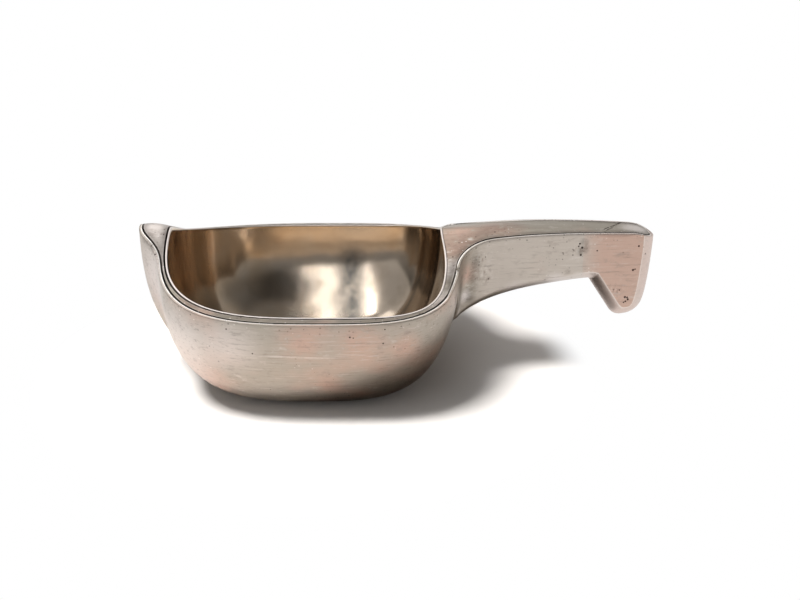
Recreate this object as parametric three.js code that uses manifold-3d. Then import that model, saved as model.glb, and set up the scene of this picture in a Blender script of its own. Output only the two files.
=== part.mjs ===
// Drinking ladle of worked silver: a double-walled bowl with a pointed prow, and a hollow hooked handle.
// Millimetres, +Z up. It stands on its flat bottom, with the handle along +X and the prow along -X.
// Every piece is sheet silver, soldered to its neighbours along seams that are left open here.

import * as THREE from "three";
import { mergeVertices } from "three/addons/utils/BufferGeometryUtils.js";
import Module from "manifold-3d";

// Sheet and seams
const SHELL_SHEET = 1.2; // outer wall of the bowl
const LINER_SHEET = 0.8; // inner bowl
const COVER_SHEET = 1.3; // plate round the mouth and along the handle
const HANDLE_SHEET = 1.3; // trough and hook
const SEAM = 0.3;

// Mouth, seen from above: squarer towards the handle than towards the prow
const MOUTH_X = 4; // its widest place
const MOUTH_TO_PROW = 58.8;
const MOUTH_TO_HANDLE = 47.6;
const MOUTH_HALF_WIDTH = 52;
const MOUTH_PROW_POWER = 2.85;
const MOUTH_HANDLE_POWER = 4.3;
const TONGUE_LENGTH = 1.5; // how far the handle's ridge reaches over the mouth
const TONGUE_HALF_WIDTH = 12;

// Rim, from the edge of the mouth to the outer edge of the wall
const RIM_SIDE = 5.5;
const RIM_PROW = 3.4;
const RIM_HANDLE = 6.2;
const RIM_HANDLE_POWER = 3.45;
const NOSE_LENGTH = 8.9; // how far the prow's point stands out of the round
const NOSE_HALF_WIDTH = 12.8;
const NOSE_POWER = 2.5;

// Heights of the rim: low at the sides, high at the prow and at the handle
const RIM_SIDE_Z = 43.2;
const RIM_END_Z = 60.2;
const RIM_DIP_POWER = 1.4;
const RIDGE_ROUND = 2.5; // softness of the ridge along the middle of prow and handle
const HANDLE_FLATTEN_LENGTH = 20; // how soon the ridge flattens out beyond the mouth
const PROW_ARCH = 1.3; // how far the ridge bulges up on its way to the tip
const PROW_LIFT = 1.4; // how much higher the prow's tip ends
const HANDLE_ARCH = 1;
const HANDLE_DROOP = 2.2;
const HANDLE_DROOP_LENGTH = 10;

// Bottom of the bowl
const BASE_HALF_LENGTH = 27;
const BASE_HALF_WIDTH = 23.5;
const BASE_POWER = 2.4;
const BELLY_POWER = 2.1;
const BELLY_PROW_POWER = 2.6; // the belly is fuller under the prow
const LINER_FLOOR_INSET = 4; // how much smaller the inner floor is than the bottom

// Handle, seen from above and from the side
const HANDLE_END_X = 133.4;
const HANDLE_ROOT_HALF_WIDTH = 12.2;
const HANDLE_END_HALF_WIDTH = 7;
const ROOT_FILLET = 15;
const ROOT_BURY = 1; // how deep the root's fillet starts inside the round of the bowl
const ROOT_FILLET_FADE = 0.7; // how much of the fillet is lost on the way down
const UNDERSIDE_ROOT_Z = 26.8;
const UNDERSIDE_HOOK_Z = 40.4;
const UNDERSIDE_RISE_LENGTH = 24;
const UNDERSIDE_ROUND = 5; // height of the rounded underside

// Hook
const HOOK_SEAM_X = 105;
const COVER_SEAM_X = 117.5;
const COVER_SEAM_HALF_LENGTH = 8.5; // the seam across the cover runs aslant, this far each way
const HOOK_CORNER_X = 108.7; // inner corner under the handle
const HOOK_TIP_Z = 24.9;
const HOOK_TIP_LENGTH = 3.3; // flat end of the side faces
const HOOK_TIP_RISE = 0.5; // how much higher the tip ends at the back
const HOOK_HEEL_HEIGHT = 2.5; // the back's curve aims at a point this far above the tip
const HOOK_HEEL_INSET = 1.2; // and this far inside the back
const HOOK_LEAN = 10.3; // how far the inner face runs outwards on its way down
const HOOK_FLAT = 0.01; // share of the hook's width that is flat between its rounded edges

// Fineness
const COLUMNS = 84;
const COLUMN_CROWDING = 0.5; // more columns at the prow than at the handle
const WALL_STEPS = 7;
const HANDLE_STEPS = 36;
const HANDLE_CROWDING = 1.4; // shorter steps at the root's fillet
const ROUND_STEPS = 6; // facets of a rounded edge
const SHEET_CELL = 3.2;
const SHEET_CROWDING = 1.35; // narrower cells along the ridge
const ABOVE = 6; // how far blanks stand above the rim before they are cut to it
const PAST = 1; // how far a hollow runs past the seam that it opens to

const wasm = await Module();
wasm.setup();

// Places worked out from the sizes above
const mouthProwX = MOUTH_X - MOUTH_TO_PROW;
const mouthHandleX = MOUTH_X + MOUTH_TO_HANDLE;
const bowlHandleX = mouthHandleX + RIM_HANDLE;
const bowlHalfWidth = MOUTH_HALF_WIDTH + RIM_SIDE;
const prowTipX = mouthProwX - RIM_PROW - NOSE_LENGTH;
const linerFloorZ = SHELL_SHEET + SEAM + LINER_SHEET;

// The height of the upper surface above any place: a saddle with a soft ridge towards prow and handle.
function saddle(x, y) {
  const side = Math.hypot(y, RIDGE_ROUND) - RIDGE_ROUND;
  const across = Math.max(0, 1 - side / bowlHalfWidth);
  const dip = (RIM_END_Z - RIM_SIDE_Z) * (1 - across ** RIM_DIP_POWER);
  const beyond = Math.max(0, x - mouthHandleX);
  return crest(x) - dip * Math.exp(-beyond / HANDLE_FLATTEN_LENGTH);
}

// The height of the ridge itself, which rises to the prow, and arches along the handle and droops at its end.
function crest(x) {
  const handle = THREE.MathUtils.clamp((x - mouthHandleX) / (HANDLE_END_X - mouthHandleX), 0, 1);
  const droopStart = HANDLE_END_X - HANDLE_DROOP_LENGTH;
  const end = Math.max(0, (x - droopStart) / HANDLE_DROOP_LENGTH);
  const prow = Math.max(0, (mouthProwX - x) / (mouthProwX - prowTipX));
  const arch = HANDLE_ARCH * Math.sin(Math.PI * handle) + PROW_ARCH * Math.sin(Math.PI * Math.min(1, prow));
  return RIM_END_Z + arch - HANDLE_DROOP * end ** 2 + PROW_LIFT * prow ** 2;
}

// A point of a superellipse about the middle of the mouth, at a polar angle.
function oval(angle, size) {
  const c = Math.cos(angle);
  const s = Math.sin(angle);
  const reach = c < 0 ? size.toProw : size.toHandle;
  const power = c < 0 ? size.prowPower : size.handlePower;
  const sum = Math.abs(c / reach) ** power + Math.abs(s / size.halfWidth) ** power;
  const radius = sum ** (-1 / power);
  return new THREE.Vector2(size.x + radius * c, radius * s);
}

// The mouth's edge, moved outwards by grow, with the handle's tongue reaching in.
function mouthPoint(angle, grow) {
  const p = oval(angle, {
    x: MOUTH_X,
    toProw: MOUTH_TO_PROW + grow,
    toHandle: MOUTH_TO_HANDLE + grow,
    halfWidth: MOUTH_HALF_WIDTH + grow,
    prowPower: MOUTH_PROW_POWER,
    handlePower: MOUTH_HANDLE_POWER,
  });
  if (p.x > MOUTH_X) p.x -= TONGUE_LENGTH * Math.exp(-((p.y / TONGUE_HALF_WIDTH) ** 2));
  return p;
}

// The outer edge of the rim, moved outwards by grow, with the prow's nose drawn out of the round.
function rimPoint(angle, grow) {
  const p = oval(angle, {
    x: MOUTH_X,
    toProw: MOUTH_TO_PROW + RIM_PROW + grow,
    toHandle: MOUTH_TO_HANDLE + RIM_HANDLE + grow,
    halfWidth: bowlHalfWidth + grow,
    prowPower: MOUTH_PROW_POWER,
    handlePower: RIM_HANDLE_POWER,
  });
  if (p.x < MOUTH_X) {
    p.x -= NOSE_LENGTH * Math.exp(-((Math.abs(p.y) / (NOSE_HALF_WIDTH + grow)) ** NOSE_POWER));
  }
  return p;
}

// The edge of the flat bottom, moved outwards by grow.
function basePoint(angle, grow) {
  return oval(angle, {
    x: 0,
    toProw: BASE_HALF_LENGTH + grow,
    toHandle: BASE_HALF_LENGTH + grow,
    halfWidth: BASE_HALF_WIDTH + grow,
    prowPower: BASE_POWER,
    handlePower: BASE_POWER,
  });
}

// Column angles crowd together at the prow.
function columnAngle(step) {
  const even = (2 * Math.PI * (step % COLUMNS)) / COLUMNS;
  return even + COLUMN_CROWDING * Math.sin(even);
}

// A closed solid out of a three.js geometry.
function solid(geometry) {
  const flat = geometry.index ? geometry.toNonIndexed() : geometry.clone();
  flat.deleteAttribute("normal");
  flat.deleteAttribute("uv");
  const merged = mergeVertices(flat, 1e-4);
  return new wasm.Manifold(
    new wasm.Mesh({
      numProp: 3,
      vertProperties: new Float32Array(merged.attributes.position.array),
      triVerts: new Uint32Array(merged.index.array),
    }),
  );
}

// Moves every vertex of a geometry to where place says.
function reshape(geometry, place) {
  const position = geometry.attributes.position;
  const from = new THREE.Vector3();
  for (let i = 0; i < position.count; i++) {
    const to = place(from.fromBufferAttribute(position, i), i);
    position.setXYZ(i, to.x, to.y, to.z);
  }
  return geometry;
}

// How full the belly is on one side of the bowl.
function bellyPower(angle) {
  const toProw = Math.max(0, -Math.cos(angle));
  return THREE.MathUtils.lerp(BELLY_POWER, BELLY_PROW_POWER, toProw ** 2);
}

// One wall of a raised bowl at a column's angle: part runs from the floor's edge, 0, to the rim, 1.
function wallPoint(wall, angle, part) {
  const low = wall.low(angle);
  const high = wall.high(angle);
  const up = 1 - Math.cos((part * Math.PI) / 2);
  const p = low.clone().lerp(high, Math.sqrt(1 - (1 - up) ** bellyPower(angle)));
  const z = THREE.MathUtils.lerp(wall.floorZ, saddle(high.x, high.y), up);
  return new THREE.Vector3(p.x, p.y, z);
}

// A turned cup whose columns are drawn out to where the stations say, each one a function of the angle.
function turned(stations) {
  const profile = stations.map((_, i) => new THREE.Vector2(1, i));
  const cup = new THREE.LatheGeometry(profile, COLUMNS);
  return solid(
    reshape(cup, (from, index) => {
      const angle = columnAngle(Math.floor(index / stations.length));
      return stations[index % stations.length](angle);
    }),
  );
}

// The stations of one wall, from the middle of its floor to its rim.
function wallStations(wall) {
  const stations = [() => new THREE.Vector3(0, 0, wall.floorZ)];
  for (let step = 0; step <= WALL_STEPS; step++) {
    stations.push((angle) => wallPoint(wall, angle, step / WALL_STEPS));
  }
  return stations;
}

// A raised bowl, from the middle of the outside over the lip to the middle of the inside.
function raisedBowl(outer, inner) {
  return turned([...wallStations(outer), ...wallStations(inner).reverse()]);
}

function shellSurface(grow) {
  return {
    floorZ: -grow,
    low: (angle) => basePoint(angle, grow),
    high: (angle) => rimPoint(angle, grow),
  };
}

function linerSurface(grow) {
  return {
    floorZ: linerFloorZ - grow,
    low: (angle) => basePoint(angle, grow - LINER_FLOOR_INSET),
    high: (angle) => mouthPoint(angle, grow),
  };
}

// The bowl's whole outer volume, moved outwards by grow and carried straight up above the rim.
function bowlBlock(grow) {
  const top = RIM_END_Z + ABOVE;
  const wall = shellSurface(grow);
  const lifted = (angle) => wallPoint(wall, angle, 1).setZ(top);
  return turned([...wallStations(wall), lifted, () => new THREE.Vector3(0, 0, top)]);
}

// Half the handle's width at x, moved outwards by grow, with the fillet into the bowl.
// The fillet is whole at the top, where height is 1, and fades towards the underside.
function handleHalfWidth(x, grow, height = 1) {
  const fillet = ROOT_FILLET - grow;
  const filletEnd = bowlHandleX - ROOT_BURY + ROOT_FILLET;
  const along = (x - bowlHandleX) / (HANDLE_END_X - bowlHandleX);
  const taper = THREE.MathUtils.lerp(HANDLE_ROOT_HALF_WIDTH, HANDLE_END_HALF_WIDTH, along);
  const back = THREE.MathUtils.clamp(filletEnd - x, 0, fillet);
  const flare = fillet - Math.sqrt(fillet ** 2 - back ** 2);
  return taper + grow + flare * (1 - ROOT_FILLET_FADE * (1 - height));
}

// The height of the handle's underside along its middle.
function undersideZ(x) {
  const fall = (at) => Math.exp(-(at - bowlHandleX) / UNDERSIDE_RISE_LENGTH);
  const atHook = fall(HOOK_CORNER_X);
  const rise = UNDERSIDE_HOOK_Z - UNDERSIDE_ROOT_Z;
  return UNDERSIDE_HOOK_Z - (rise * (fall(x) - atHook)) / (1 - atHook);
}

// The arm of the handle between two places: a U section with a rounded underside, drawn along X.
// With grow at zero it is the outside, and with minus the sheet's thickness it is the hollow.
// In the section 1 is the height of the lip, and 2 is above it.
function armBlock(fromX, toX, grow) {
  const section = new THREE.Shape();
  section.moveTo(-1, 2);
  section.lineTo(-1, 1);
  section.lineTo(-1, 0.5);
  section.lineTo(-1, 0);
  section.absellipse(0, 0, 1, 1, Math.PI, 2 * Math.PI, false);
  section.lineTo(1, 0.5);
  section.lineTo(1, 1);
  section.lineTo(1, 2);
  section.closePath();
  const steps = Math.ceil((toX - fromX) / SHEET_CELL);
  const arm = new THREE.ExtrudeGeometry(section, {
    depth: toX - fromX,
    steps,
    curveSegments: ROUND_STEPS + 2,
    bevelEnabled: false,
  });
  reshape(arm, (from) => {
    const x = fromX + from.z;
    const low = undersideZ(x) - grow;
    const round = low + UNDERSIDE_ROUND + grow;
    const lip = saddle(x, handleHalfWidth(x, grow));
    const height = THREE.MathUtils.clamp(from.y, 0, 1);
    const z = round + from.y * (from.y < 0 ? round - low : lip - round);
    return new THREE.Vector3(x, from.x * handleHalfWidth(x, grow, height), from.y > 1 ? lip + ABOVE : z);
  });
  return solid(arm);
}

// The flat side face of the hook, inside its rounded edges.
function hookFace() {
  const round = UNDERSIDE_ROUND;
  const drop = UNDERSIDE_HOOK_Z - HOOK_TIP_Z;
  const slope = Math.hypot(HOOK_LEAN, drop);
  const cornerX = HOOK_CORNER_X + (round * slope - round * HOOK_LEAN) / drop;
  const cornerZ = UNDERSIDE_HOOK_Z + round;
  const tipZ = HOOK_TIP_Z + round;
  const tipX = cornerX + (HOOK_LEAN * (cornerZ - tipZ)) / drop;
  const backX = HANDLE_END_X - round;
  const startX = HOOK_SEAM_X - round;
  const face = new THREE.Shape();
  face.moveTo(startX, undersideZ(startX) + round);
  face.lineTo(cornerX, cornerZ);
  face.lineTo(tipX, tipZ);
  face.lineTo(tipX + HOOK_TIP_LENGTH, tipZ + HOOK_TIP_RISE);
  face.quadraticCurveTo(backX - HOOK_HEEL_INSET, tipZ + HOOK_HEEL_HEIGHT, backX, RIM_END_Z - round);
  face.lineTo(backX, RIM_END_Z + ABOVE);
  face.lineTo(startX, RIM_END_Z + ABOVE);
  face.closePath();
  return face;
}

// The hook with every edge but the upper one rounded over. With minus the sheet's thickness it is the hollow.
function hookBlock(grow) {
  const round = UNDERSIDE_ROUND + grow;
  const hook = new THREE.ExtrudeGeometry(hookFace(), {
    depth: 2 * HOOK_FLAT,
    curveSegments: ROUND_STEPS + 2,
    bevelEnabled: true,
    bevelSize: round,
    bevelThickness: 1 - HOOK_FLAT,
    bevelSegments: ROUND_STEPS,
  });
  reshape(hook, (from) => {
    const across = from.z - HOOK_FLAT;
    const y = across * handleHalfWidth(Math.min(from.x, HANDLE_END_X), grow);
    return new THREE.Vector3(from.x, -y, from.y);
  });
  return solid(hook);
}

// A box between two corners.
function block(low, high) {
  const size = new THREE.Vector3().subVectors(high, low);
  const middle = new THREE.Vector3().addVectors(low, high).multiplyScalar(0.5);
  return solid(new THREE.BoxGeometry(...size).translate(...middle));
}

// Everything between the saddle moved by low and by high, as one thick curved sheet.
function saddleSheet(low, high) {
  const fromX = prowTipX - ABOVE;
  const length = HANDLE_END_X + ABOVE - fromX;
  const halfWidth = bowlHalfWidth + ABOVE;
  const steps = [Math.ceil(length / SHEET_CELL), 2 * Math.ceil(halfWidth / SHEET_CELL)];
  const sheet = new THREE.BoxGeometry(1, 2, 1, ...steps, 1);
  reshape(sheet, (from) => {
    const x = fromX + (from.x + 0.5) * length;
    const y = Math.sign(from.y) * halfWidth * Math.abs(from.y) ** SHEET_CROWDING;
    const z = saddle(x, y) + (from.z < 0 ? low : high);
    return new THREE.Vector3(x, y, z);
  });
  return solid(sheet);
}

// A flat outline as a tall upright block.
function upright(points) {
  const shape = new THREE.Shape(points);
  const tall = RIM_END_Z + ABOVE;
  return solid(new THREE.ExtrudeGeometry(shape, { depth: tall, bevelEnabled: false }));
}

function outlineOf(pointAt, grow) {
  const points = [];
  for (let step = 0; step < COLUMNS; step++) points.push(pointAt(columnAngle(step), grow));
  return points;
}

// Seen from above, the handle's outline with its rounded end, moved outwards by grow.
function handleOutline(grow) {
  const side = [];
  const startX = mouthHandleX + LINER_SHEET;
  const roundX = HANDLE_END_X - UNDERSIDE_ROUND;
  for (let step = 0; step <= HANDLE_STEPS; step++) {
    const x = THREE.MathUtils.lerp(startX, roundX, (step / HANDLE_STEPS) ** HANDLE_CROWDING);
    side.push(new THREE.Vector2(x, handleHalfWidth(x, grow)));
  }
  for (let step = 1; step < ROUND_STEPS; step++) {
    const turn = ((step / ROUND_STEPS) * Math.PI) / 2;
    const x = roundX + (UNDERSIDE_ROUND + grow) * Math.sin(turn);
    side.push(new THREE.Vector2(x, handleHalfWidth(x, grow) * Math.cos(turn)));
  }
  const tip = new THREE.Vector2(HANDLE_END_X + grow, 0);
  const mirrored = side.map((p) => new THREE.Vector2(p.x, -p.y)).reverse();
  return [...side, tip, ...mirrored];
}

// The cover's blank: all that lies inside the groove and outside the mouth, moved outwards by grow.
function coverBlock(grow, low, high) {
  const inBowl = upright(outlineOf(rimPoint, grow - SHELL_SHEET - SEAM));
  const inHandle = upright(handleOutline(grow - HANDLE_SHEET - SEAM));
  const mouth = upright(outlineOf(mouthPoint, LINER_SHEET + SEAM - grow));
  return inBowl.add(inHandle).subtract(mouth).intersect(saddleSheet(low, high));
}

// A wedge that holds everything on the hook's side of the aslant seam in the cover.
function beyondCoverSeam(shift) {
  const half = HANDLE_ROOT_HALF_WIDTH;
  const near = COVER_SEAM_X - COVER_SEAM_HALF_LENGTH + shift;
  const far = COVER_SEAM_X + COVER_SEAM_HALF_LENGTH + shift;
  const end = HANDLE_END_X + ABOVE;
  const corners = [[near, -half], [end, -half], [end, half], [far, half]];
  return upright(corners.map(([x, y]) => new THREE.Vector2(x, y)));
}

function bowlLiner() {
  return raisedBowl(linerSurface(LINER_SHEET), linerSurface(0));
}

function bowlShell(coverRoom) {
  return raisedBowl(shellSurface(0), shellSurface(-SHELL_SHEET)).subtract(coverRoom);
}

// The underside of the saddle, which cuts the handle's walls to height.
function underSaddle() {
  return saddleSheet(-RIM_END_Z, 0);
}

function handleTrough(bowlRoom, coverRoom) {
  const wall = armBlock(mouthHandleX, HOOK_SEAM_X, 0);
  const hollow = armBlock(mouthHandleX - PAST, HOOK_SEAM_X + PAST, -HANDLE_SHEET);
  return wall.subtract(hollow).subtract(bowlRoom).intersect(underSaddle()).subtract(coverRoom);
}

function hookEnd(coverRoom) {
  const low = new THREE.Vector3(HOOK_SEAM_X + SEAM, -bowlHalfWidth, 0);
  const high = new THREE.Vector3(HANDLE_END_X + ABOVE, bowlHalfWidth, RIM_END_Z + 2 * ABOVE);
  const wall = hookBlock(0).intersect(block(low, high));
  return wall.subtract(hookBlock(-HANDLE_SHEET)).intersect(underSaddle()).subtract(coverRoom);
}

const silver = { color: 0xc8b4a7, metalness: 1, roughness: 0.34 };
const wornSilver = { color: 0xbda89b, metalness: 1, roughness: 0.4 };
const gilt = { color: 0x9c8059, metalness: 1, roughness: 0.28 };

const ladle = new THREE.Group();

function addPiece(name, made, finish) {
  const { numProp, vertProperties, triVerts } = made.getMesh();
  const position = new Float32Array((vertProperties.length / numProp) * 3);
  for (let i = 0; i < position.length / 3; i++) {
    position.set(vertProperties.subarray(i * numProp, i * numProp + 3), i * 3);
  }
  const geometry = new THREE.BufferGeometry();
  geometry.setAttribute("position", new THREE.BufferAttribute(position, 3));
  geometry.setIndex(new THREE.BufferAttribute(new Uint32Array(triVerts), 1));
  const mesh = new THREE.Mesh(geometry, new THREE.MeshStandardMaterial(finish));
  mesh.name = name;
  ladle.add(mesh);
}

const coverRoom = coverBlock(SEAM, -COVER_SHEET - SEAM, ABOVE);
const bowlRoom = bowlBlock(SEAM);
const cover = coverBlock(0, -COVER_SHEET, 0);

addPiece("bowl_liner", bowlLiner(), gilt);
addPiece("bowl_shell", bowlShell(coverRoom), silver);
addPiece("rim_cover", cover.subtract(beyondCoverSeam(-SEAM)), wornSilver);
addPiece("handle_trough", handleTrough(bowlRoom, coverRoom), silver);
addPiece("hook_end", hookEnd(coverRoom), silver);
addPiece("hook_cover", cover.intersect(beyondCoverSeam(0)), wornSilver);

export default ladle;
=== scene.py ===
"""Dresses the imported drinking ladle: six sheets of worked silver, a pale floor, soft lamps and the camera.

Metres, +Z up. The ladle stands on its flat bottom, with the handle along +X and the prow along -X.
"""

from dataclasses import dataclass
from functools import cache
from math import atan2, cos, exp, hypot, pi, radians, sin, sqrt, tau

import bmesh
import bpy
from bpy.props import FloatProperty, FloatVectorProperty, IntProperty, PointerProperty
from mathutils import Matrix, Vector, noise
from mathutils.bvhtree import BVHTree
from mathutils.kdtree import KDTree


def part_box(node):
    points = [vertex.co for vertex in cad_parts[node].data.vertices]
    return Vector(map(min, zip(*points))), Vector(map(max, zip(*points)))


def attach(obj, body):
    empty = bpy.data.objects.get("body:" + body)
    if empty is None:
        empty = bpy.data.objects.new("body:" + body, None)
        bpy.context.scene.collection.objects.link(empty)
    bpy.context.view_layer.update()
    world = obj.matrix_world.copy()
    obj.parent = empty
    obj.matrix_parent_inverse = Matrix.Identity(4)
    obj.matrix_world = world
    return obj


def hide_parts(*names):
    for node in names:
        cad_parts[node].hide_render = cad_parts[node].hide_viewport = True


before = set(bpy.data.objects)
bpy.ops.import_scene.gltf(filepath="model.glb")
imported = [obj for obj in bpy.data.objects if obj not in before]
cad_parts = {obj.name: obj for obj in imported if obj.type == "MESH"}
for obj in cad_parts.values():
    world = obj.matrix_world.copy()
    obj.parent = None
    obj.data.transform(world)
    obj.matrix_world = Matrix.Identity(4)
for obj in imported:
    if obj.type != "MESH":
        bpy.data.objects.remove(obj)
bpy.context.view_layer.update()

bl_info = {
    "name": "Drinking ladle",
    "version": (1, 0, 0),
    "blender": (4, 5, 0),
    "location": "3D View > Sidebar > Ladle",
    "description": "Builds a double-walled silver drinking ladle piece by piece",
    "category": "Add Mesh",
}

MM = 0.001

# Mouth, seen from above: squarer towards the handle than towards the prow
MOUTH_X = 4 * MM
MOUTH_TO_PROW = 58.8 * MM
MOUTH_TO_HANDLE = 47.6 * MM
MOUTH_HALF_WIDTH = 52 * MM
MOUTH_PROW_POWER = 2.85
MOUTH_HANDLE_POWER = 4.3
TONGUE_LENGTH = 1.5 * MM
TONGUE_HALF_WIDTH = 12 * MM

# Rim, from the edge of the mouth to the outer edge of the wall
RIM_SIDE = 5.5 * MM
RIM_PROW = 3.4 * MM
RIM_HANDLE = 6.2 * MM
RIM_HANDLE_POWER = 3.45
NOSE_LENGTH = 8.9 * MM
NOSE_HALF_WIDTH = 12.8 * MM
NOSE_POWER = 2.5

# Heights of the rim: low at the sides, high at the prow and at the handle
RIM_SIDE_Z = 43.2 * MM
RIM_END_Z = 60.2 * MM
RIM_DIP_POWER = 1.4
RIDGE_ROUND = 2.5 * MM
HANDLE_FLATTEN_LENGTH = 20 * MM
PROW_ARCH = 1.3 * MM
PROW_LIFT = 1.4 * MM
HANDLE_ARCH = 1 * MM
HANDLE_DROOP = 2.2 * MM
HANDLE_DROOP_LENGTH = 10 * MM

# Bottom of the bowl
BASE_HALF_LENGTH = 27 * MM
BASE_HALF_WIDTH = 23.5 * MM
BASE_POWER = 2.4
BELLY_POWER = 2.1
BELLY_PROW_POWER = 2.6
LINER_FLOOR_INSET = 4 * MM

# Handle and hook
HANDLE_END_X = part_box("hook_end")[1][0]
HANDLE_ROOT_HALF_WIDTH = 12.2 * MM
HANDLE_END_HALF_WIDTH = 7 * MM
ROOT_FILLET = 15 * MM
ROOT_BURY = 1 * MM
ROOT_FILLET_FADE = 0.7
ROOT_DEPTH = 1.5 * MM
ROOT_LIP_HEIGHT = 0.875
UNDERSIDE_ROOT_Z = 26.8 * MM
UNDERSIDE_HOOK_Z = 40.4 * MM
UNDERSIDE_RISE_LENGTH = 24 * MM
UNDERSIDE_ROUND = 5 * MM
HOOK_SEAM_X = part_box("handle_trough")[1][0]
COVER_SEAM_X = 117.5 * MM
COVER_SEAM_HALF_LENGTH = 8.5 * MM
HOOK_CORNER_X = 108.7 * MM
HOOK_TIP_Z = 24.9 * MM
HOOK_TIP_LENGTH = 3.3 * MM
HOOK_TIP_RISE = 0.5 * MM
HOOK_HEEL_HEIGHT = 2.5 * MM
HOOK_HEEL_INSET = 1.2 * MM
HOOK_LEAN = 10.3 * MM
HOOK_CORNER_WEAR = 0.05

# Hammer marks inside the bowl: their start below the lip, widths against one mark, and shares of its depth
DENTS_START = 1.2 * MM
DENTS_FADE = 6 * MM
SLOW_WIDTH = 2.2
MIDDLING_WIDTH = 1.1
MARK_SHARE = 0.55
SLOW_SHARE = 2.4
MIDDLING_SHARE = 1.1
BEATEN_SHARE = 0.6

# Patch of the far inner wall that was beaten out again, and the dark streak across it in millimetres, a painted
# reflection of the dark between two lamps
BEATEN_X = 13 * MM
BEATEN_REACH = 6 * MM
BEATEN_SIZE = 5.5 * MM
PAINTED_DARK_REFLECTION_STREAK = ((BEATEN_X / MM, 50, 28), (BEATEN_X / MM, 37, 8), 10.0)

# Where the gilding is worn off: its middle and radius in millimetres
BARE_PLACE = (18, 46, 20, 36)

# Facets hammered along the hook's edges
FACET_START_X = 92 * MM
FACET_FLATNESS = 1.5

# Places worked out from the sizes above
MOUTH_PROW_X = MOUTH_X - MOUTH_TO_PROW
MOUTH_HANDLE_X = MOUTH_X + MOUTH_TO_HANDLE
BOWL_HANDLE_X = MOUTH_HANDLE_X + RIM_HANDLE
BOWL_HALF_WIDTH = MOUTH_HALF_WIDTH + RIM_SIDE
PROW_TIP_X = MOUTH_PROW_X - RIM_PROW - NOSE_LENGTH

# The groove round the inner bowl is open up to this cosine of the polar angle, and fades out beyond it
LINER_SEAM_CLOSES = 0.4
LINER_SEAM_FADE = 0.25

# Worn edges
SHARP_ANGLE = radians(50)
LIP_BEVEL_SHARE = 0.8
NEAR_TOP = 0.2 * MM

# The dark of a groove, by the way from its middle in millimetres: where it starts and is full
GROOVE = (0.42, 0.3)

# Colours of small marks in the metal, and of light painted on it
GREYED = (0.36, 0.3, 0.26)
SCRATCH_DARK = (0.25, 0.2, 0.17)
SCRATCH_BRIGHT = (0.78, 0.72, 0.67)
FILED_DARK = (0.28, 0.2, 0.17)
# Light of filed marks, and the colour of painted highlight lines
FILED_LIGHT_AND_PAINTED_HIGHLIGHT = (0.85, 0.79, 0.74)
# Painted highlight on lips and edges
PAINTED_EDGE_HIGHLIGHT = (0.95, 0.9, 0.85)
GROOVE_DARK = (0.035, 0.028, 0.022)
PIT_DARK = (0.035, 0.02, 0.015)
# Painted glints
PAINTED_GLINT = (0.92, 0.87, 0.82)
BROWNED = (0.3, 0.22, 0.13)
# Painted dark reflection between the two lamp highlights inside the bowl
PAINTED_REFLECTION_GREY = (0.13, 0.122, 0.11)
DUST = (0.85, 0.8, 0.7)

# Stage
FLOOR_REACH = 4.0
BACKDROP_REACH = 1.2
BACKDROP_STEPS = 12
BACKDROP_STEP = 0.075
FLOOR_COLOUR = (0.635, 0.608, 0.585)
WHITE_STARTS = 0.094
WHITE_FULL = 0.113
CAMERA_LENS = 54
CAMERA_PLACE = (0.0344, -0.44505, 0.20981)
CAMERA_TILT = radians(68)

# Shadow side of the floor, which the metal mirrors darker than the camera sees it
DARK_SIDE = (0.048, -0.005, 0)
DARK_SIDE_CORE = 0.05
DARK_SIDE_END = 0.07
DARK_SIDE_COLOUR = (0.1, 0.082, 0.068)

# Lamps: name, place, the place they face, size, power in watts, and whether the metal mirrors them
LAMPS = (
    ("key", (-0.33, -0.33, 1.0), (0.02, 0, 0.03), (0.32, 0.32), 23, False),
    ("ceiling strip left", (-0.167, -1.1, 0.8), (-0.167, -1.1, 0), (0.106, 2.3), 3.0, True),
    ("ceiling strip right", (-0.067, -1.1, 0.8), (-0.067, -1.1, 0), (0.019, 2.3), 1.0, True),
    ("ceiling wash", (-0.84, -0.9, 0.79), (-0.84, -0.9, 0), (1.2, 2.7), 3.6, True),
    ("overhead panel", (-0.25, 0.75, 1.1), (0, 0, 0), (1.3, 0.9), 4.2, True),
)

# Light of the world: the axis along which it grows, where it starts and is full, and its strength
SKY = (("Y", -0.1, 0.8, 0.46), ("X", 0.2, 0.9, 0.12), ("Z", 0.55, 0.15, 0.2), ("Z", 0.8, 0.95, 0.12))
SKY_EVERYWHERE = 0.04

# Fineness
COLUMN_CROWDING = 0.5
HANDLE_CROWDING = 1.3
JOINT_STEP = 0.001
LIP_STEPS = 3
CORNER_STEPS = 3
MERGE = 1e-6
PATCH_MERGE = 2e-5


def length(name, description, default):
    return FloatProperty(name=name, description=description, default=default, unit="LENGTH")


def tint(name, description, default):
    return FloatVectorProperty(name=name, description=description, default=default, size=3, subtype="COLOR")


class LadleSizes(bpy.types.PropertyGroup):
    """Sheets, seams and hammer marks."""

    shell_sheet: length("Shell sheet", "Thickness of the outer wall", 1.2 * MM)
    liner_sheet: length("Liner sheet", "Thickness of the inner bowl", 0.8 * MM)
    cover_sheet: length("Cover sheet", "Thickness of the plate round the mouth", 1.3 * MM)
    handle_sheet: length("Handle sheet", "Thickness of trough and hook", 1.3 * MM)
    seam: length("Seam", "Width of the groove between two sheets", 0.42 * MM)
    soldered: length("Soldered seam", "Width of the closed seams across the handle", 0.01 * MM)
    edge_round: length("Edge round", "Radius worn on the lips of the sheets", 0.25 * MM)
    dent_size: length("Hammer mark", "Width of one hammer mark inside the bowl", 9 * MM)
    dent_depth: length("Hammer depth", "Depth of the hammer marks", 0.07 * MM)
    columns: IntProperty(name="Columns", description="Columns of faces round the bowl", default=320, min=64)


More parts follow.
